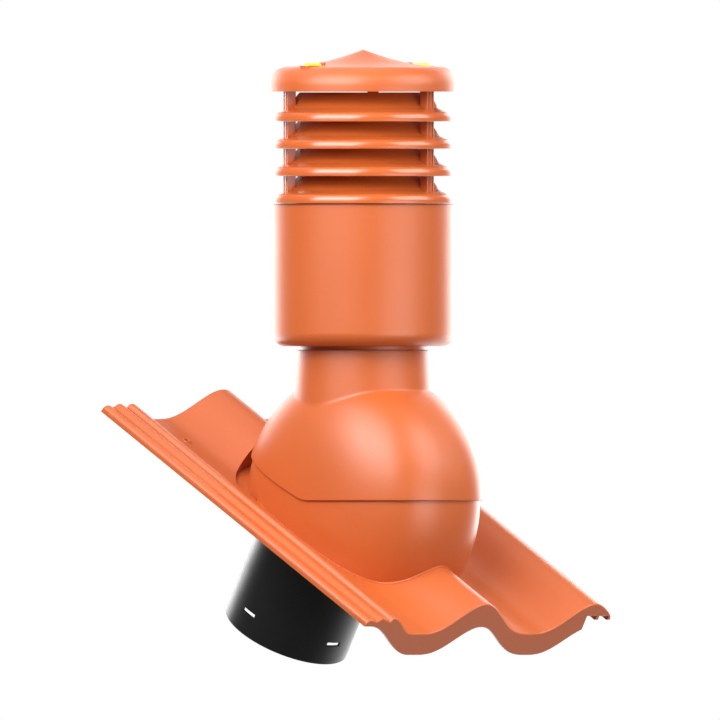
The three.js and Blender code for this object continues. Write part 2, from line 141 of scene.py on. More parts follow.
# Hood rim and neck
RIM_LEVEL = 1.1
RIM_BEND_START = -8.0
RIM_BEND_RADIUS = 40.0
RIM_RISE = math.radians(24.7)
RIM_ROUNDING = 0.8
NECK_TOP = 146.7
NECK_TOP_RADIUS = 63.8
NECK_TAPER = 0.065
NECK_WALL = 2.5
NECK_FILLET = 1.5

# Flue pipe and jacket
FLUE_RADIUS = 60.95
FLUE_WALL = 2.5
FLUE_BOTTOM = 101.7
FLUE_TOP = 301.9
JACKET_RADIUS = 88.2
JACKET_BOTTOM = 150.3
JACKET_TOP = 287.9
JACKET_CORNER = 15.5
JACKET_WALL = 2.5
JACKET_COLLAR = 25.0

# Louvre rings and their posts
RING_COUNT = 4
RING_PITCH = 26.4
RING_RIM_RADIUS = 91.3
RING_RIM_HEIGHT = 9.4
RING_ROUND_WIDTH = 5.5
RING_ROUND_HEIGHT = 7.0
RING_WALL = 2.2
RING_FLANK_RADIUS = 75.4
RING_FLANK_HEIGHT = 12.8
RING_THROAT_RADIUS = 61.5
RING_THROAT_HEIGHT = 28.3
RING_SPIGOT = 8.0
POST_COUNT = 3
POST_ANGLE = 37.7
POST_CIRCLE = 77.3
POST_WIDTH = 11.0
POST_DEPTH = 9.0
POST_FOOT = 9.4
POST_TOP = 34.4
POST_GROOVE_DEPTH = 1.3
POST_GROOVE_WIDTH = 2.0

# Cap and its level vials
CAP_BAND_RADIUS = 91.5
CAP_BAND_HEIGHT = 5.7
CAP_SHOULDER = (74.0, 23.9)
CAP_CONE = [(47.8, 26.8), (23.9, 32.6), (0.0, 40.5)]
CAP_CONE_LEAD = (20.0, -0.4)
CAP_WALL = 2.6
VIAL_ANGLES = {"level_vial_left": 180.0, "level_vial_right": -8.0}
VIAL_LENGTH = 22.0
VIAL_RADIUS = 2.9
VIAL_MIDDLE_RADIUS = 69.0
VIAL_AXIS_HEIGHT = 24.8
VIAL_SEAT_WALL = 2.5
VIAL_STOP_LENGTH = 3.5
VIAL_STOP_RISE = 3.4

# Duct pipe
DUCT_RADIUS = 62.6
DUCT_WALL = 2.6
DUCT_AXIS_Y = 28.5
DUCT_LOW = -162.2
DUCT_TOP = -10.0
DUCT_FLANGE_WIDTH = 6.0
DUCT_FLANGE_WALL = 3.0
SLOT_COUNT = 4
SLOT_WIDTH = 17.5
SLOT_HEIGHT = 4.0
SLOT_ABOVE_RIM = 22.4

PLATE_UNDER = VALLEY_LEVEL - TILE_WALL

# The ball's middle, from the places of the jacket and the cap in the frame
jacket_low, jacket_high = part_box("jacket")
cap_low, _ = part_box("cap")
ball_middle = np.array([
    (jacket_low.x + jacket_high.x) / 2, (jacket_low.y + jacket_high.y) / 2,
    jacket_low.z - JACKET_BOTTOM * MM,
])
CAP_BOTTOM = (cap_low.z - ball_middle[2]) / MM


roof_tilt = np.array(Matrix.Rotation(ROOF_PITCH, 3, "X"))


def upright(points, lift=0.0):
    """Places of upright points in the frame, in metres."""
    return ball_middle + (np.asarray(points, float) + (0, 0, lift)) * MM


def on_roof(points):
    """Places of roof points in the frame, in metres."""
    return ball_middle + np.asarray(points, float) @ roof_tilt.T * MM


def to_roof(points):
    """Upright points in the roof's own plane."""
    return points @ roof_tilt


def spun(points, angle):
    """Points turned about Z."""
    return points @ np.array(Matrix.Rotation(angle, 3, "Z")).T


# Meshes

def mesh_object(name, points, faces):
    """A closed mesh whose faces point out."""
    mesh = bpy.data.meshes.new(name)
    mesh.from_pydata(points.tolist(), [], faces)
    edit = bmesh.new()
    edit.from_mesh(mesh)
    bmesh.ops.remove_doubles(edit, verts=edit.verts, dist=1e-6)
    bmesh.ops.delete(edit, geom=[e for e in edit.edges if not e.link_faces], context="EDGES")
    bmesh.ops.recalc_face_normals(edit, faces=edit.faces)
    edit.to_mesh(mesh)
    edit.free()
    piece = bpy.data.objects.new(name, mesh)
    bpy.context.scene.collection.objects.link(piece)
    return piece


def looped(name, grid):
    """A mesh from rows of points, closed along the rows and across them."""
    rows, turns = grid.shape[:2]
    ids = np.arange(rows * turns).reshape(rows, turns)
    across, along = np.roll(ids, -1, 0), np.roll(ids, -1, 1)
    faces = np.stack([ids, along, np.roll(across, -1, 1), across], -1).reshape(-1, 4)
    return mesh_object(name, grid.reshape(-1, 3), faces.tolist())


def lofted(name, xs, rows, place):
    """A closed body between a top and an underside level at the places xs, with a row for each y."""
    loops = [np.concatenate([np.c_[xs, y + 0 * xs, top], np.c_[xs, y + 0 * xs, under][::-1]])
             for y, top, under in rows]
    grid = np.stack(loops)
    count, around = grid.shape[:2]
    ids = np.arange(count * around).reshape(count, around)
    along = np.roll(ids, -1, 1)
    faces = np.stack([ids[:-1], along[:-1], along[1:], ids[1:]], -1).reshape(-1, 4).tolist()
    for end in (ids[0], ids[-1]):
        faces += [[end[i], end[i + 1], end[around - 2 - i], end[around - 1 - i]]
                  for i in range(len(xs) - 1)]
    return mesh_object(name, place(grid.reshape(-1, 3)), [[int(i) for i in face] for face in faces])


def prism(name, outline, low, high, place):
    """An outline of (x, y) points drawn along Z."""
    count = len(outline)
    points = np.array([(x, y, z) for z in (low, high) for x, y in outline])
    sides = [[i, (i + 1) % count, count + (i + 1) % count, count + i] for i in range(count)]
    faces = [list(range(count)), list(range(count, 2 * count)), *sides]
    return mesh_object(name, place(points), faces)


def rounded(corners, steps=5):
    """A closed outline through (a, b, radius) corners, each rounded by an arc."""
    points = []
    for i, (a, b, radius) in enumerate(corners):
        here = np.array([a, b])
        arms = [np.array(corners[j % len(corners)][:2]) - here for j in (i - 1, i + 1)]
        lengths = [np.linalg.norm(arm) for arm in arms]
        back, ahead = (arm / length for arm, length in zip(arms, lengths))
        half = math.acos(np.clip(back @ ahead, -1, 1)) / 2
        reach = min(radius / math.tan(half), 0.48 * min(lengths)) if radius else 0
        if reach < 1e-6:
            points.append(here)
            continue
        middle = here + (back + ahead) / np.linalg.norm(back + ahead) * reach / math.cos(half)
        first, last = here + back * reach - middle, here + ahead * reach - middle
        sweep = math.pi - 2 * half
        for share in np.linspace(0, 1, steps + 1):
            turn = (math.sin((1 - share) * sweep) * first + math.sin(share * sweep) * last)
            points.append(middle + turn / math.sin(sweep))
    return np.array(points)


def turned(name, outline, place, sides=SIDES):
    """A closed outline of (radius, height) points turned about Z."""
    angles = np.arange(sides) * 2 * math.pi / sides
    radius, height = np.asarray(outline, float).T
    grid = np.stack([radius[:, None] * np.cos(angles), radius[:, None] * np.sin(angles),
                     height[:, None] + 0 * angles], -1)
    return looped(name, place(grid.reshape(-1, 3)).reshape(grid.shape))


def bar(name, radius, low, high, place, sides=SIDES):
    """A plain round cutter."""
    outline = [(0, low), (radius, low), (radius, high), (0, high)]
    return turned(name, outline, place, sides)


def combine(base, tool, operation):
    """Joins the tool to the base, or cuts it out of the base."""
    step = base.modifiers.new("combine", "BOOLEAN")
    step.operation = operation
    step.solver = "MANIFOLD"
    step.object = tool
    bpy.context.view_layer.update()
    made = bpy.data.meshes.new_from_object(base.evaluated_get(bpy.context.evaluated_depsgraph_get()))
    base.modifiers.clear()
    base.data = made
    bpy.data.objects.remove(tool)
    return base


def together(name, pieces):
    """Several meshes as one object."""
    edit = bmesh.new()
    for piece in pieces:
        edit.from_mesh(piece.data)
        bpy.data.objects.remove(piece)
    mesh = bpy.data.meshes.new(name)
    edit.to_mesh(mesh)
    edit.free()
    whole = bpy.data.objects.new(name, mesh)
    bpy.context.scene.collection.objects.link(whole)
    return whole


def finished(piece, node, finish):
    """Smooth shading with crisp cut edges, its finish, and its place on the frame."""
    piece.name = node + "_fine"
    mesh = piece.data
    mesh.materials.clear()
    mesh.materials.append(finish)
    mesh.polygons.foreach_set("use_smooth", [True] * len(mesh.polygons))
    mesh.set_sharp_from_angle(angle=math.radians(38))
    even = piece.modifiers.new("even shading", "WEIGHTED_NORMAL")
    even.keep_sharp = True
    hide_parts(node)
    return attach(piece, "root")


# Ball. Its meeting lines are found by halving a stretch between two limits.

HALVINGS = 44
HOOD_REACH = (30.0, 300.0)
FALL_REACH = (0.6, 2.9)


def ball_size(points, inset):
    """One on the ball's surface, less inside and more outside."""
    x, y, z = np.moveaxis(points, -1, 0)
    across = np.abs(x / (BALL_HALF_WIDTH - inset)) ** BALL_BULGE
    around = (np.hypot(y, z) / (BALL_RADIUS - inset)) ** BALL_BULGE
    return (across + around) ** (1 / BALL_BULGE)


def neck_radius(z):
    return NECK_TOP_RADIUS + (NECK_TOP - z) * NECK_TAPER


def ray(turn, fall):
    """Directions from the ball's middle: turn about the chimney axis, fall from straight up."""
    turn, fall = np.broadcast_arrays(turn, fall)
    return np.stack([np.sin(fall) * np.cos(turn), np.sin(fall) * np.sin(turn), np.cos(fall)], -1)


def ball_point(turn, fall, inset):
    way = ray(turn, fall)
    return way / ball_size(way, inset)[..., None]


def hood_point(turn, fall, inset):
    """Where a ray leaves the ball and the neck, which meet in a small fillet."""
    way = ray(turn, fall)
    near, far = (np.full(way.shape[:-1], reach) for reach in HOOD_REACH)
    for _ in range(HALVINGS):
        middle = (near + far) / 2
        points = way * middle[..., None]
        from_ball = middle * (1 - 1 / ball_size(points, inset))
        from_neck = np.hypot(points[..., 0], points[..., 1]) - neck_radius(points[..., 2]) + inset
        overlap = np.clip(NECK_FILLET - np.abs(from_ball - from_neck), 0, None)
        inside = np.minimum(from_ball, from_neck) - overlap ** 2 / (4 * NECK_FILLET) < 0
        near, far = np.where(inside, middle, near), np.where(inside, far, middle)
    return way * near[..., None]


def rim_height(y):
    """Level of the hood's rim: flat in front, an arc, then a straight rise."""
    bend_end = RIM_BEND_RADIUS * math.sin(RIM_RISE)
    along = np.clip(y - RIM_BEND_START, 0, bend_end)
    bend = RIM_BEND_RADIUS - np.sqrt(RIM_BEND_RADIUS ** 2 - along ** 2)
    return RIM_LEVEL + bend + np.clip(y - RIM_BEND_START - bend_end, 0, None) * math.tan(RIM_RISE)


def fall_where(turn, level, inset):
    """The fall at which the ball's surface comes down to where level(points) is zero."""
    high, low = (np.full(turn.shape, fall) for fall in FALL_REACH)
    for _ in range(HALVINGS):
        middle = (high + low) / 2
        above = level(ball_point(turn, middle, inset)) > 0
        high, low = np.where(above, middle, high), np.where(above, low, middle)
    return high


def above_rim(lift):
    return lambda points: points[..., 2] - rim_height(points[..., 1]) - lift


def roof_height(points):
    """Height of upright points square to the roof."""
    return points[..., 2] * math.cos(ROOF_PITCH) - points[..., 1] * math.sin(ROOF_PITCH)


def quarter_round(rounding):
    """A rounded corner as (inset, lift) steps."""
    return [(rounding * (1 - math.cos(a)), rounding * (1 - math.sin(a)))
            for a in np.radians([0, 22, 45, 67, 90])]


def edge_steps(wall, rounding):
    """A wall's rounded edge as (inset, lift) steps from its outside to its inside."""
    side = quarter_round(rounding)
    return side + [(wall - inset, lift) for inset, lift in reversed(side)]


BALL_SIDES = SIDES * 3 // 2
turns = np.arange(BALL_SIDES) * 2 * math.pi / BALL_SIDES


def hood():
    """The ball above its rim, open below, with the neck."""
    def skin(inset, rows):
        low = fall_where(turns, above_rim(RIM_ROUNDING), inset)
        top = math.atan2(neck_radius(NECK_TOP) - inset, NECK_TOP - RIM_ROUNDING)
        share = np.linspace(0, 1, rows)[:, None]
        return hood_point(np.broadcast_to(turns, (rows, len(turns))), low + (top - low) * share, inset)
    rim = [ball_point(turns, fall_where(turns, above_rim(lift), inset), inset)
           for inset, lift in edge_steps(HOOD_WALL, RIM_ROUNDING)]
    mouth = [np.stack([(neck_radius(NECK_TOP) - inset) * np.cos(turns),
                       (neck_radius(NECK_TOP) - inset) * np.sin(turns),
                       NECK_TOP - lift + 0 * turns], -1)
             for inset, lift in edge_steps(NECK_WALL, RIM_ROUNDING)]
    rows = [*skin(0, 170)[:-1], *mouth, *skin(HOOD_WALL, 70)[::-1][1:], *rim[::-1][1:-1]]
    return looped("hood", upright(np.stack(rows)))


# Roof tile

def half_wave(x, sharpness):
    return ((1 + np.cos(2 * math.pi * x / WAVE_PITCH)) / 2) ** sharpness


def eased(points, x):
    """Height between listed points, eased at each of them."""
    places, heights = np.array(points).T
    after = np.clip(np.searchsorted(places, x), 1, len(places) - 1)
    share = np.clip((x - places[after - 1]) / (places[after] - places[after - 1]), 0, 1)
    return heights[after - 1] + (heights[after] - heights[after - 1]) * (1 - np.cos(math.pi * share)) / 2


def top_level(x):
    wave = VALLEY_LEVEL + WAVE_HEIGHT * half_wave(x, WAVE_SHARPNESS)
    wave = np.where(x < -WAVE_PITCH / 2, VALLEY_LEVEL, wave)
    return np.where(x < INTERLOCK_DROP_END, eased(INTERLOCK, x), wave)


def under_level(x):
    strip = GROOVE_LEVEL - INTERLOCK_WALL
    under = top_level(x) - TILE_WALL
    under = np.where(x < INTERLOCK_DROP_END, np.minimum(under, strip), under)
    under = np.where(x < INTERLOCK_END, strip, under)
    under = np.where(x < TILE_LEFT + FLANGE_WIDTH, INTERLOCK_UNDER, under)
    rib = (np.abs(x - OVERLAP_RIB_X) < OVERLAP_RIB_WIDTH / 2) | (x > TILE_RIGHT - OVERLAP_RIB_WIDTH)
    return np.where(rib, OVERLAP_RIB_TIP, under)


def skirt_level(x):
    wave = half_wave(x - SKIRT_CREST_SHIFT, SKIRT_SHARPNESS)
    skirt = SKIRT_VALLEY + (SKIRT_CREST - SKIRT_VALLEY) * wave
    drop = [(SKIRT_DROP_START, INTERLOCK_UNDER), (SKIRT_DROP_END, SKIRT_VALLEY)]
    skirt = np.where(x < -WAVE_PITCH / 2, eased(drop, x), skirt)
    skirt = np.where(x > SKIRT_END, SKIRT_OVERLAP_UNDER, skirt)
    return np.minimum(skirt, under_level(x))


def tile_places(step=1.5):
    """Places across the tile, closer at the interlock, with a pair at each upright face."""
    faces = [TILE_LEFT + FLANGE_WIDTH, OVERLAP_RIB_X - OVERLAP_RIB_WIDTH / 2,
             OVERLAP_RIB_X + OVERLAP_RIB_WIDTH / 2, TILE_RIGHT - OVERLAP_RIB_WIDTH, SKIRT_END]
    pairs = [face + side for face in faces for side in (-FACE_GAP, FACE_GAP)]
    edges = [TILE_LEFT + SIDE_ROUNDING * share for share in (0.0, 0.05, 0.15, 0.3)]
    edges += [TILE_RIGHT - EDGE_ROUNDING * share for share in (0.0, 0.3, 1.0)]
    fine = np.arange(TILE_LEFT + 1.6, INTERLOCK_DROP_END, step / 2)
    even = np.arange(INTERLOCK_DROP_END, TILE_RIGHT - 1.2, step)
    return np.unique(np.concatenate([fine, even, pairs, edges]))


def plate_body(name, floor=None):
    """The plate between its front and its head, as a skin or filled down to a floor."""
    xs = tile_places()
    rounding = np.where(xs < 0, SIDE_ROUNDING, EDGE_ROUNDING)
    end = np.clip(1 - np.minimum(xs - TILE_LEFT, TILE_RIGHT - xs) / rounding, 0, 1)
    top = top_level(xs) - rounding * (1 - np.sqrt(1 - end ** 2))
    skin = under_level(xs) if floor is None else np.full(xs.shape, floor)
    skirt = skirt_level(xs) if floor is None else skin
    edge = quarter_round(EDGE_ROUNDING)
    skirt_back = TILE_FRONT + SKIRT_WALL
    rows = [(TILE_FRONT + along, top - drop, skirt + drop / 2) for along, drop in edge]
    rows.append((skirt_back - FACE_GAP, top, skirt))
    rows += [(y, top, skin) for y in np.linspace(skirt_back + FACE_GAP, TILE_HEAD - 2, 50)]
    rows += [(TILE_HEAD - along, top - drop, skin) for along, drop in reversed(edge)]
    return lofted(name, xs, rows, on_roof)


def recess(name, grow):
    """The round recess behind the dome, between the two valleys."""
    radius, half = RECESS_RADIUS + grow, WAVE_PITCH / 2
    side = math.acos(half / radius)
    angles = np.concatenate([np.linspace(side, math.pi - side, 90),
                             np.linspace(math.pi + side, 2 * math.pi - side, 40)])
    outline = [(radius * math.cos(a), RECESS_CENTRE_Y + radius * math.sin(a)) for a in angles]
    floor = VALLEY_LEVEL + RECESS_FLOOR_RISE - grow
    return prism(name, outline, floor, FAR_ABOVE, on_roof)


def ball_body(name, inset):
    """The whole ball as a cutter."""
    falls = np.linspace(0, math.pi, 90)
    grid = ball_point(turns[None, :], falls[:, None], inset)
    count = len(falls)
    ids = np.arange(count * len(turns)).reshape(count, -1)
    along = np.roll(ids, -1, 1)
    faces = np.stack([ids[:-1], along[:-1], along[1:], ids[1:]], -1).reshape(-1, 4).tolist()
    return mesh_object(name, upright(grid.reshape(-1, 3)), faces)


def dome():
    """The ball's lower part, from inside the hood down to the web under the plate."""
    def skin(inset, rows):
        top = fall_where(turns, above_rim(DOME_LAP), inset)
        low = fall_where(turns, lambda points: roof_height(points) - PLATE_UNDER, inset)
        share = np.linspace(0, 1, rows)[:, None]
        return ball_point(np.broadcast_to(turns, (rows, len(turns))), top + (low - top) * share, inset)
    rows = [*skin(DOME_GAP, 70), *skin(DOME_GAP + DOME_WALL, 40)[::-1]]
    return looped("dome", upright(np.stack(rows)))


def recess_floor(x, y):
    """Level of the plate, with its recess."""
    floor = VALLEY_LEVEL + RECESS_FLOOR_RISE
    within = (np.hypot(x, y - RECESS_CENTRE_Y) < RECESS_RADIUS) & (np.abs(x) < WAVE_PITCH / 2) & (y > 0)
    return np.where(within, floor, top_level(x))


def dome_lip():
    """A low rounded lip on the plate round the dome's foot."""
    def over_plate(points):
        x, y, z = np.moveaxis(to_roof(points), -1, 0)
        return z - recess_floor(x, y)
    foot = to_roof(ball_point(turns, fall_where(turns, over_plate, DOME_GAP), DOME_GAP))
    ahead = np.roll(foot, -1, 0) - np.roll(foot, 1, 0)
    out = np.stack([ahead[:, 1], -ahead[:, 0]], -1)
    out /= np.linalg.norm(out, axis=1)[:, None]
    fade = np.clip((np.abs(foot[:, 0]) - LIP_FADE_START) / LIP_FADE_WIDTH, 0, 1)
    fade = np.where(foot[:, 1] > 0, fade, 1)
    crown = [(-DOME_LIP_ROOT, 1.0), (0.2, 1.0), (1.0, 0.93), (1.7, 0.7), (DOME_LIP_WIDTH, 0.25)]
    crown = [(aside, share * DOME_LIP_HEIGHT) for aside, share in crown]
    section = [(-DOME_LIP_ROOT, -DOME_LIP_DEPTH), *crown, (DOME_LIP_WIDTH + 0.1, -DOME_LIP_DEPTH)]
    rows = []
    for aside, rise in section:
        place = foot[:, :2] + out * aside
        lift = rise * np.where(rise > 0, fade, 1) - LIP_FADE_DROP * (1 - fade)
        rows.append(np.c_[place, recess_floor(place[:, 0], place[:, 1]) + lift])
    grid = np.stack(rows)
    return looped("dome_lip", on_roof(grid.reshape(-1, 3)).reshape(grid.shape))


def web():
    """The flat web under the dome, round the duct."""
    low = fall_where(turns, lambda points: roof_height(points) - PLATE_UNDER, DOME_GAP + DOME_WALL / 2)
    outer = to_roof(ball_point(turns, low, DOME_GAP + DOME_WALL / 2))[:, :2]
    around = np.arctan2(outer[:, 1] - DUCT_AXIS_Y, outer[:, 0])
    hole = DUCT_RADIUS + FIT
    inner = np.c_[hole * np.cos(around), DUCT_AXIS_Y + hole * np.sin(around)]
    low, high = PLATE_UNDER, PLATE_UNDER + WEB_WALL
    rows = [np.c_[edge, np.full(len(turns), level)]
            for edge, level in [(outer, low), (inner, low), (inner, high), (outer, high)]]
    grid = np.stack(rows)
    return looped("web", on_roof(grid.reshape(-1, 3)).reshape(grid.shape))


def batten_seat():
    """A cross wall and a flat foot that lies on the batten."""
    half, head = SEAT_LENGTH / 2, TILE_HEAD - SEAT_HEAD_INSET
    xs = np.linspace(-half, half, 90)
    wall = [(y, top_level(xs) - TILE_WALL / 2, 0 * xs - SEAT_DEPTH) for y in (head - SEAT_WALL, head)]
    foot_top = SEAT_WALL - SEAT_DEPTH + 0 * xs
    foot = [(y, foot_top, 0 * xs - SEAT_DEPTH) for y in (head - SEAT_WIDTH, head - SEAT_WALL / 2)]
    return [lofted("seat_wall", xs, wall, on_roof), lofted("seat_foot", xs, foot, on_roof)]


def at_fixing(side):
    """The placing of a fixing hole's pieces, on the left or on the right."""
    middle = np.array([side * FIXING_HOLE_X, FIXING_HOLE_Y, 0])
    return lambda points: on_roof(points + middle)


def boss(side):
    """A low boss round a fixing hole."""
    top = VALLEY_LEVEL + FIXING_BOSS_RISE
    outline = rounded([(FIXING_HOLE_RADIUS, PLATE_UNDER, 0.3), (FIXING_BOSS_RADIUS, PLATE_UNDER, 0.3),
                       (FIXING_BOSS_RADIUS, top, 1.0), (FIXING_HOLE_RADIUS, top, SOFT_EDGE)])
    return turned("boss", outline, at_fixing(side), 48)


def roof_tile():
    plate = plate_body("plate")
    pocket = combine(recess("pocket", TILE_WALL), plate_body("filled", FAR_BELOW), "INTERSECT")
    combine(plate, pocket, "UNION")
    combine(plate, recess("recess", 0.0), "DIFFERENCE")
    combine(plate, ball_body("ball", DOME_GAP + DOME_WALL / 2), "DIFFERENCE")
    for side in (-1, 1):
        hole = bar("hole", FIXING_HOLE_RADIUS + 1, FAR_BELOW, FAR_ABOVE, at_fixing(side), 48)
        combine(plate, hole, "DIFFERENCE")
    return together("roof_tile", [plate, dome(), dome_lip(), web(), *batten_seat(), boss(-1), boss(1)])


# Vent head

def flue_pipe():
    inner = FLUE_RADIUS - FLUE_WALL
    outline = rounded([(inner, FLUE_BOTTOM, SOFT_EDGE), (FLUE_RADIUS, FLUE_BOTTOM, SOFT_EDGE),
                       (FLUE_RADIUS, FLUE_TOP, SOFT_EDGE), (inner, FLUE_TOP, SOFT_EDGE)])
    return turned("flue_pipe", outline, upright)


def jacket():
    bore = FLUE_RADIUS + FIT
    inner = JACKET_RADIUS - JACKET_WALL
    collar_top = JACKET_BOTTOM + JACKET_COLLAR
    outline = rounded([
        (bore, JACKET_BOTTOM, SOFT_EDGE), (JACKET_RADIUS, JACKET_BOTTOM, JACKET_CORNER),
        (JACKET_RADIUS, JACKET_TOP, 0.7), (inner, JACKET_TOP, 0.7),
        (inner, JACKET_BOTTOM + JACKET_WALL, JACKET_CORNER - JACKET_WALL),
        (bore + JACKET_WALL, JACKET_BOTTOM + JACKET_WALL, 0.4), (bore + JACKET_WALL, collar_top, SOFT_EDGE),
        (bore, collar_top, SOFT_EDGE)], 14)
    return turned("jacket", outline, upright)


def ring_body(lift):
    """One louvre ring: an upright rim, a rounded shoulder and a flank that rises to the throat."""
    inner = RING_RIM_RADIUS - RING_WALL
    curve = [(RING_RIM_RADIUS + (math.cos(a) - 1) * RING_ROUND_WIDTH,
              RING_RIM_HEIGHT + (math.sin(a) - 1) * RING_ROUND_HEIGHT)
             for a in np.linspace(0, math.pi / 2, 14)]
    rest = rounded([
        (*curve[-1], 0), (RING_FLANK_RADIUS, RING_FLANK_HEIGHT, 3.0),
        (RING_THROAT_RADIUS, RING_THROAT_HEIGHT, SOFT_EDGE),
        (RING_THROAT_RADIUS - RING_WALL, RING_THROAT_HEIGHT - RING_WALL / 2, 0.4),
        (RING_FLANK_RADIUS - RING_WALL / 2, RING_FLANK_HEIGHT - RING_WALL, 2.0),
        (RING_RIM_RADIUS - RING_ROUND_WIDTH, RING_RIM_HEIGHT - RING_WALL, 2.0),
        (inner, 0.4, 0), (inner + 0.4, 0, 0), (RING_RIM_RADIUS - 0.5, 0, 0), (RING_RIM_RADIUS, 0.5, 0)], 7)
    return turned("ring", [*curve, *rest[1:]], lambda points: upright(points, lift))


def post(angle, lift, low=POST_FOOT, high=POST_TOP):
    """A post with two grooves down its outer face."""
    half, face = POST_WIDTH / 2, POST_DEPTH / 2
    floor = face - POST_GROOVE_DEPTH
    near, far = half / 2 - POST_GROOVE_WIDTH / 2, half / 2 + POST_GROOVE_WIDTH / 2
    groove = [(face, far, 0.4), (floor, far, 0.5), (floor, near, 0.5), (face, near, 0.4)]
    across = [(-face, half, SOFT_EDGE), (face, half, SOFT_EDGE), *groove]
    corners = across + [(out, -aside, radius) for out, aside, radius in reversed(across)]
    outline = [(POST_CIRCLE + out, across) for out, across in rounded(corners, 3)]
    return prism("post", outline, low, high, lambda points: upright(spun(points, angle), lift))


def post_angles():
    return [math.radians(POST_ANGLE + 360 / POST_COUNT * i) for i in range(POST_COUNT)]


def louvre_ring(number):
    """One ring with its posts. The lowest also has a deck and a spigot inside the jacket."""
    lift = JACKET_TOP + FIT + number * RING_PITCH
    parts = [ring_body(lift), *[post(angle, lift) for angle in post_angles()]]
    if number == 0:
        spigot = JACKET_RADIUS - JACKET_WALL - FIT
        deck = [(spigot - RING_WALL, -RING_SPIGOT, 0.5), (spigot, -RING_SPIGOT, 0.5), (spigot, 0, 0),
                (RING_RIM_RADIUS - RING_WALL / 2, 0, 0), (RING_RIM_RADIUS - RING_WALL / 2, RING_WALL, 0.4),
                (spigot - RING_WALL, RING_WALL, 0.5)]
        parts.append(turned("deck", rounded(deck), lambda points: upright(points, lift)))
    return together("louvre_ring", parts)


def cap_curve(inset):
    """The cap's face from its band over the shoulder to the apex, drawn in by a wall."""
    band, (shoulder, shoulder_height) = CAP_BAND_RADIUS - inset, CAP_SHOULDER
    arc = [(shoulder + math.cos(a) * (band - shoulder),
            CAP_BAND_HEIGHT + math.sin(a) * (shoulder_height - inset - CAP_BAND_HEIGHT))
           for a in np.linspace(0, math.pi / 2, 24)]
    knots = np.array([CAP_SHOULDER, *CAP_CONE])
    before = knots[:1] + CAP_CONE_LEAD
    beyond = 2 * knots[-1:] - knots[-2:-1]
    run = np.concatenate([before, knots, beyond])
    slope = []
    for i in range(1, len(run) - 2):
        p0, p1, p2, p3 = run[i - 1:i + 3]
        for t in np.linspace(0, 1, 9)[1:]:
            slope.append(0.5 * (2 * p1 + (p2 - p0) * t + (2 * p0 - 5 * p1 + 4 * p2 - p3) * t ** 2
                                + (3 * p1 - p0 - 3 * p2 + p3) * t ** 3))
    return arc + [(max(r, 0.0), z - inset) for r, z in slope]


def radial_box(name, angle, radii, width, heights, bevel):
    """A rounded block along a radius of the cap."""
    corners = [(radii[0], -width / 2, bevel), (radii[1], -width / 2, bevel),
               (radii[1], width / 2, bevel), (radii[0], width / 2, bevel)]
    outline = rounded(corners, 6)
    return prism(name, outline, *heights, lambda points: upright(spun(points, angle), CAP_BOTTOM))


def cap():
    near, far = VIAL_MIDDLE_RADIUS - VIAL_LENGTH / 2, VIAL_MIDDLE_RADIUS + VIAL_LENGTH / 2
    floor = VIAL_AXIS_HEIGHT - VIAL_RADIUS - FIT
    inner = CAP_BAND_RADIUS - CAP_WALL
    outline = [(inner + 0.5, 0), (CAP_BAND_RADIUS - 0.5, 0), (CAP_BAND_RADIUS - 0.15, 0.15),
               (CAP_BAND_RADIUS, 0.5), *cap_curve(0), *cap_curve(CAP_WALL)[::-1], (inner, 0.5),
               (inner + 0.15, 0.15)]
    body = turned("cap", outline, lambda points: upright(points, CAP_BOTTOM))
    boss_foot = POST_TOP + FIT - (CAP_BOTTOM - JACKET_TOP - FIT - (RING_COUNT - 1) * RING_PITCH)
    extras = [post(angle, CAP_BOTTOM, boss_foot, CAP_SHOULDER[1] - 5) for angle in post_angles()]
    for angle in np.radians(list(VIAL_ANGLES.values())):
        stop = (near - FIT - VIAL_STOP_LENGTH, near - FIT)
        seat = radial_box("seat", angle, (stop[0], far + VIAL_SEAT_WALL), 2 * (VIAL_RADIUS + VIAL_SEAT_WALL),
                          (floor - VIAL_SEAT_WALL, VIAL_AXIS_HEIGHT), 1.5)
        combine(body, seat, "UNION")
        trough = radial_box("trough", angle, (near - FIT, far + FIT), 2 * (VIAL_RADIUS + FIT),
                            (floor, 60), VIAL_RADIUS)
        combine(body, trough, "DIFFERENCE")
        extras.append(radial_box("stop", angle, stop, 2 * VIAL_RADIUS,
                                 (VIAL_AXIS_HEIGHT, VIAL_AXIS_HEIGHT + VIAL_STOP_RISE), 1.0))
    return together("cap", [body, *extras])


def vial(angle):
    """A capsule with round ends, lying along a radius of the cap."""
    half = VIAL_LENGTH / 2 - VIAL_RADIUS
    arc = [(VIAL_RADIUS * math.cos(a), half + VIAL_RADIUS * math.sin(a))
           for a in np.linspace(0, math.pi / 2, 14)]
    outline = [(max(r, 0.0), -z) for r, z in arc][::-1] + [(max(r, 0.0), z) for r, z in arc]
    lay = np.array(Matrix.Rotation(angle, 3, "Z") @ Matrix.Rotation(math.pi / 2, 3, "Y"))
    middle = np.array([VIAL_MIDDLE_RADIUS * math.cos(angle), VIAL_MIDDLE_RADIUS * math.sin(angle),
                       VIAL_AXIS_HEIGHT])
    return turned("vial", outline, lambda points: upright(points @ lay.T + middle, CAP_BOTTOM), 48)


# Duct pipe

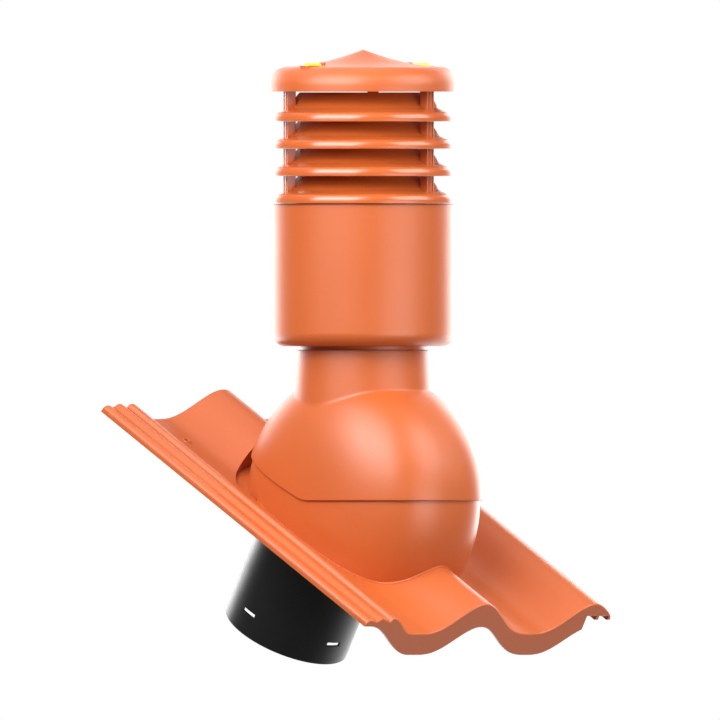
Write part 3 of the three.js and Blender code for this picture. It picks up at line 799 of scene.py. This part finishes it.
def duct_pipe():
    inner = DUCT_RADIUS - DUCT_WALL
    flange_low = PLATE_UNDER + WEB_WALL + FIT
    flange = DUCT_RADIUS + DUCT_FLANGE_WIDTH
    outline = rounded([
        (inner, DUCT_LOW, 0.9), (DUCT_RADIUS, DUCT_LOW, 0.9), (DUCT_RADIUS, flange_low, 0.3),
        (flange, flange_low, SOFT_EDGE), (flange, flange_low + DUCT_FLANGE_WALL, SOFT_EDGE),
        (DUCT_RADIUS, flange_low + DUCT_FLANGE_WALL, 0.4), (DUCT_RADIUS, DUCT_TOP, 0.9),
        (inner, DUCT_TOP, 0.9)])
    axis = np.array([0, DUCT_AXIS_Y, 0])
    pipe = turned("duct_pipe", outline, lambda points: on_roof(points + axis), SIDES * 4 // 3)
    middle = DUCT_LOW + SLOT_ABOVE_RIM
    corners = [(across * SLOT_WIDTH / 2, up * SLOT_HEIGHT / 2, 0.5)
               for across, up in [(-1, -1), (1, -1), (1, 1), (-1, 1)]]
    outline = rounded(corners, 4)
    for angle in np.arange(SLOT_COUNT) * 2 * math.pi / SLOT_COUNT:
        def through(points):
            across, up, out = points.T
            return on_roof(spun(np.c_[out, across, up + middle], angle) + axis)
        combine(pipe, prism("slot", outline, inner - 6, DUCT_RADIUS + 3, through), "DIFFERENCE")
    return pipe


# Finishes

TERRACOTTA_SHADES = [(0.52, 0.105, 0.021, 1), (0.57, 0.119, 0.026, 1)]
PIPE_SHADES = [(0.007, 0.007, 0.007, 1), (0.012, 0.012, 0.012, 1)]
VIAL_SHADES = [(0.80, 0.72, 0.05, 1), (0.62, 0.62, 0.03, 1)]
GRAIN_DEPTH = 0.0004


class Value:
    """A number that varies over a surface. Maths on it adds Math nodes."""

    def __init__(self, finish, socket):
        self.finish, self.socket = finish, socket

    def maths(self, operation, first, second):
        return self.finish.node("ShaderNodeMath", {"operation": operation}, {0: first, 1: second})

    def __add__(self, other):
        return self.maths("ADD", self, other)

    def __mul__(self, other):
        return self.maths("MULTIPLY", self, other)

    __radd__ = __add__
    __rmul__ = __mul__


class Finish:
    """A material with one plain shader, whose varying sockets are fed by nodes."""

    def __init__(self, name, **shader):
        self.material = bpy.data.materials.new(name)
        self.material.use_nodes = True
        self.tree = self.material.node_tree
        self.shader = self.tree.nodes["Principled BSDF"]
        for socket, value in shader.items():
            self.feed(socket.replace("_", " "), value)

    def feed(self, socket, value):
        self.put(self.shader.inputs[socket], value)

    def put(self, socket, value):
        if isinstance(value, Value):
            self.tree.links.new(value.socket, socket)
        else:
            socket.default_value = value

    def node(self, kind, settings, inputs, output=0):
        """Any node, by its type, its settings and the values or links of its sockets."""
        made = self.tree.nodes.new(kind)
        for name, value in settings.items():
            setattr(made, name, value)
        for socket, value in inputs.items():
            self.put(made.inputs[socket], value)
        return Value(self, made.outputs[output])

    def noise(self, scale, detail=3.0):
        place = self.node("ShaderNodeTexCoord", {}, {}, "Object")
        return self.node("ShaderNodeTexNoise", {}, {"Vector": place, "Scale": scale, "Detail": detail})

    def grain(self, scale, strength):
        """A fine grain over the whole surface."""
        inputs = {"Strength": strength, "Distance": GRAIN_DEPTH, "Height": self.noise(scale)}
        self.feed("Normal", self.node("ShaderNodeBump", {}, inputs))

    def mixed(self, share, first, second):
        inputs = {"Factor": share, 6: first, 7: second}
        return self.node("ShaderNodeMix", {"data_type": "RGBA"}, inputs, 2)


def terracotta(name, roughness, ior):
    """Terracotta plastic with a faint mould grain."""
    finish = Finish(name, Metallic=0.0, IOR=ior)
    finish.feed("Base Color", finish.mixed(finish.noise(14.0, 2.0), *TERRACOTTA_SHADES))
    finish.feed("Roughness", roughness - 0.03 + 0.06 * finish.noise(60.0, 4.0))
    finish.grain(900.0, 0.05)
    return finish.material


def black_pipe():
    """Extruded black plastic with a faint grain."""
    finish = Finish("black_pipe_plastic", Metallic=0.0, IOR=1.4)
    finish.feed("Base Color", finish.mixed(finish.noise(30.0), *PIPE_SHADES))
    finish.feed("Roughness", 0.34 + 0.10 * finish.noise(80.0, 4.0))
    finish.grain(700.0, 0.08)
    return finish.material


def vial_finish():
    """The glossy yellow-green of a filled vial. It isn't see-through."""
    finish = Finish("vial_liquid", Metallic=0.0, Roughness=0.06, IOR=1.5)
    finish.feed("Base Color", finish.mixed(finish.noise(180.0), *VIAL_SHADES))
    return finish.material


# Studio: soft panels and a white surround

TARGET = Vector((-0.0023, ball_middle[1] + 0.0023, ball_middle[2] + 0.137))
TOWARDS_CAMERA = Vector((-math.sqrt(0.5), -math.sqrt(0.5), 0))
CAMERA_RIGHT = Vector((math.sqrt(0.5), -math.sqrt(0.5), 0))
CAMERA_DISTANCE = 3.0
VIEW_SIZE = 0.6957
FILL_LIGHT = 0.1
GLOSS_WAY = -0.9 * TOWARDS_CAMERA - Vector((0, 0, 0.45))
GLOSS_RANGE = (0.35, 0.85, 0.2, 2.6)
PANEL_DISTANCE = 1.8

# Angle to the right of the camera, angle above the horizon, width and height, brightness
PANELS = {
    "left_panel": (-36, 26, (1.8, 0.9), 5.0),
    "right_panel": (46, -8, (1.4, 0.9), 3.2),
    "high_left_panel": (-34, 44, (1.8, 1.2), 4.6),
    "high_right_panel": (66, 36, (1.4, 1.2), 4.4),
    "top_panel": (-140, 72, (1.8, 1.8), 0.8),
    "left_edge_panel": (-146, 4, (1.0, 1.6), 3.2),
    "right_edge_panel": (146, 8, (1.0, 1.6), 4.0),
}


def camera():
    made = bpy.data.objects.new("camera", bpy.data.cameras.new("camera"))
    made.data.type = "ORTHO"
    made.data.ortho_scale = VIEW_SIZE
    made.data.clip_end = 20
    made.location = TARGET + TOWARDS_CAMERA * CAMERA_DISTANCE
    made.rotation_mode = "QUATERNION"
    made.rotation_quaternion = (-TOWARDS_CAMERA).to_track_quat("-Z", "Y")
    bpy.context.scene.collection.objects.link(made)
    bpy.context.scene.camera = made


def panel(name, angle, elevation, size, brightness):
    """A soft panel that faces the object."""
    turn, rise = math.radians(angle), math.radians(elevation)
    level = TOWARDS_CAMERA * math.cos(turn) + CAMERA_RIGHT * math.sin(turn)
    way = level * math.cos(rise) + Vector((0, 0, math.sin(rise)))
    lamp = bpy.data.lights.new(name, "AREA")
    lamp.shape = "RECTANGLE"
    lamp.size, lamp.size_y = size
    lamp.energy = brightness * math.pi * size[0] * size[1]
    made = bpy.data.objects.new(name, lamp)
    made.location = TARGET + way * PANEL_DISTANCE
    made.visible_camera = False
    made.rotation_mode = "QUATERNION"
    made.rotation_quaternion = way.to_track_quat("Z", "Y")
    bpy.context.scene.collection.objects.link(made)


def surround():
    """White to the camera. As a light it is faint and even, and in gloss brighter low behind the object."""
    world = bpy.data.worlds.new("surround")
    bpy.context.scene.world = world
    world.use_nodes = True
    tree = world.node_tree
    path = tree.nodes.new("ShaderNodeLightPath").outputs

    def even(brightness):
        made = tree.nodes.new("ShaderNodeValue").outputs[0]
        made.default_value = brightness
        return made

    def chosen(share, first, second):
        made = tree.nodes.new("ShaderNodeMix")
        for source, target in [(share, made.inputs[0]), (first, made.inputs[2]), (second, made.inputs[3])]:
            tree.links.new(source, target)
        return made.outputs[0]

    along = tree.nodes.new("ShaderNodeVectorMath")
    along.operation = "DOT_PRODUCT"
    along.inputs[1].default_value = GLOSS_WAY
    tree.links.new(tree.nodes.new("ShaderNodeTexCoord").outputs["Generated"], along.inputs[0])
    gloss = tree.nodes.new("ShaderNodeMapRange")
    for socket, value in zip(gloss.inputs[1:5], GLOSS_RANGE):
        socket.default_value = value
    tree.links.new(along.outputs["Value"], gloss.inputs[0])
    lights = chosen(path["Is Glossy Ray"], even(FILL_LIGHT), gloss.outputs[0])
    background = tree.nodes["Background"]
    background.inputs["Color"].default_value = (1, 1, 1, 1)
    tree.links.new(chosen(path["Is Camera Ray"], lights, even(1.0)), background.inputs["Strength"])


def studio():
    camera()
    surround()
    for name, light in PANELS.items():
        panel(name, *light)
    bpy.context.scene.view_settings.view_transform = "Standard"


satin = terracotta("terracotta_satin", 0.40, 1.6)
glossy = terracotta("terracotta_glossy", 0.22, 1.75)
finished(roof_tile(), "roof_tile", satin)
finished(hood(), "hood", satin)
finished(flue_pipe(), "flue_pipe", satin)
finished(jacket(), "jacket", satin)
for number in range(RING_COUNT):
    finished(louvre_ring(number), f"louvre_ring_{number + 1}", glossy)
finished(cap(), "cap", satin)
vial_liquid = vial_finish()
for node, angle in VIAL_ANGLES.items():
    finished(vial(math.radians(angle)), node, vial_liquid)
finished(duct_pipe(), "duct_pipe", black_pipe())
studio()
